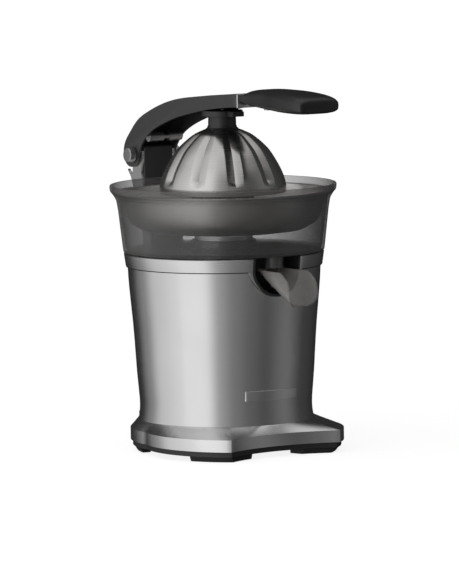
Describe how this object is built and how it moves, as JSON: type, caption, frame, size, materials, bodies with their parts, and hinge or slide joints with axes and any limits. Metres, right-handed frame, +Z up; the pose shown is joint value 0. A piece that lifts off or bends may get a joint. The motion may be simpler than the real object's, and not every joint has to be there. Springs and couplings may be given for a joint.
{
  "type": "citrus press juicer",
  "caption": "Electric citrus press: lever arm with a fluted dome over a ribbed reamer, strainer, clear bowl, tilting spout and a geared motor in a round steel body.",
  "frame": {"origin": "on the table plane under the axis of body, bowl and reamer", "axes": "+Z up, -Y towards the front (spout and grip), +X to the right seen from the front"},
  "size_m": [0.208, 0.2986, 0.3338],
  "materials": {
    "cast_silver": "satin silver paint on a die casting",
    "black_plastic": "fine moulded texture",
    "rubber_black": "matt",
    "brushed_steel": "fine brushing round the body",
    "polished_steel": "polished",
    "zinc_steel": "zinc plated",
    "smoke_clear": "smoke-tinted clear plastic, glossy",
    "grey_paint": "satin gunmetal paint",
    "soft_black": "soft-touch satin",
    "dark_plastic": "satin",
    "white_nylon": "natural acetal",
    "copper_wire": "enamelled copper",
    "lamination": "stacked electrical steel",
    "bronze": "sintered bronze",
    "aluminium_cast": "as cast",
    "silicone_grey": "matt silicone"
  },
  "bodies": {
    "base": {"base_casting": "cast_silver", "bottom_tray": "black_plastic", "rubber_feet": "rubber_black", "tray_screws": "zinc_steel", "body_shell": "brushed_steel", "top_collar": "brushed_steel", "bowl_deck": "black_plastic", "hub_cap": "brushed_steel", "spout_recess": "black_plastic", "name_badge": "polished_steel", "rear_column": "black_plastic", "pivot_tower": "dark_plastic", "hinge_bracket_left": "brushed_steel", "hinge_bracket_right": "brushed_steel", "bracket_bolts": "zinc_steel", "hinge_pin": "polished_steel", "hinge_springs": "zinc_steel", "cord_inlet": "rubber_black", "chassis_plate": "zinc_steel", "chassis_posts": "zinc_steel", "chassis_screws": "zinc_steel", "motor_stator": "lamination", "stator_windings": "copper_wire", "motor_brackets": "aluminium_cast", "motor_bushes": "bronze", "motor_bolts": "zinc_steel", "gearbox_housing": "black_plastic", "gearbox_cover": "black_plastic", "idler_pin": "zinc_steel", "output_bush": "bronze", "micro_switch": "black_plastic", "shaft_bush": "bronze", "shaft_seal": "silicone_grey", "juice_bowl": "smoke_clear", "spout_pins": "zinc_steel", "strainer": "brushed_steel"},
    "spout": {"spout_chute": "smoke_clear", "spout_stopper": "silicone_grey"},
    "rotor": {"rotor_core": "lamination", "motor_shaft": "zinc_steel", "motor_pinion": "zinc_steel", "cooling_fan": "dark_plastic"},
    "idler": {"idler_gear": "white_nylon"},
    "output": {"output_gear": "white_nylon", "return_spring": "zinc_steel"},
    "reamer": {"drive_shaft": "polished_steel", "press_disc": "zinc_steel", "reamer_cone": "brushed_steel"},
    "plunger": {"switch_plunger": "white_nylon"},
    "arm": {"press_arm": "grey_paint", "trim_band": "polished_steel", "handle_grip": "soft_black", "grip_screws": "zinc_steel", "hinge_bushes": "bronze", "cross_bar": "zinc_steel", "dome_socket": "aluminium_cast", "dome_neck": "dark_plastic", "neck_screw": "zinc_steel", "press_dome": "brushed_steel"},
    "button": {"release_button": "black_plastic"}
  },
  "joints": [
    {"name": "arm_lift", "type": "hinge", "parent": "base", "child": "arm", "pos_m": [0, 0.121, 0.264], "axis": [-1, 0, 0], "range_deg": [0, 75]},
    {"name": "rotor_spin", "type": "hinge", "parent": "base", "child": "rotor", "pos_m": [0, 0, 0.05], "axis": [0, 0, 1], "continuous": true},
    {"name": "idler_spin", "type": "hinge", "parent": "base", "child": "idler", "pos_m": [0, 0.036, 0.105], "axis": [0, 0, 1], "continuous": true},
    {"name": "output_spin", "type": "hinge", "parent": "base", "child": "output", "pos_m": [0, 0, 0.115], "axis": [0, 0, 1], "continuous": true},
    {"name": "reamer_press", "type": "slide", "parent": "output", "child": "reamer", "axis": [0, 0, -1], "range_m": [0, 0.003], "stiffness_N_per_m": 4000, "springref_m": -0.003, "deforming": ["return_spring"]},
    {"name": "plunger_press", "type": "slide", "parent": "base", "child": "plunger", "axis": [0, 0, -1], "range_m": [0, 0.003]},
    {"name": "spout_tilt", "type": "hinge", "parent": "base", "child": "spout", "pos_m": [0, -0.067, 0.168], "axis": [-1, 0, 0], "range_deg": [0, 20]},
    {"name": "button_press", "type": "slide", "parent": "arm", "child": "button", "axis": [0, 1, 0], "range_m": [0, 0.0024], "stiffness_N_per_m": 500, "springref_m": -0.002}
  ],
  "couplings": [
    {"joint": "idler_spin", "follows": "rotor_spin", "ratio": -0.2},
    {"joint": "output_spin", "follows": "rotor_spin", "ratio": 0.048276},
    {"joint": "plunger_press", "follows": "reamer_press", "ratio": 1}
  ]
}
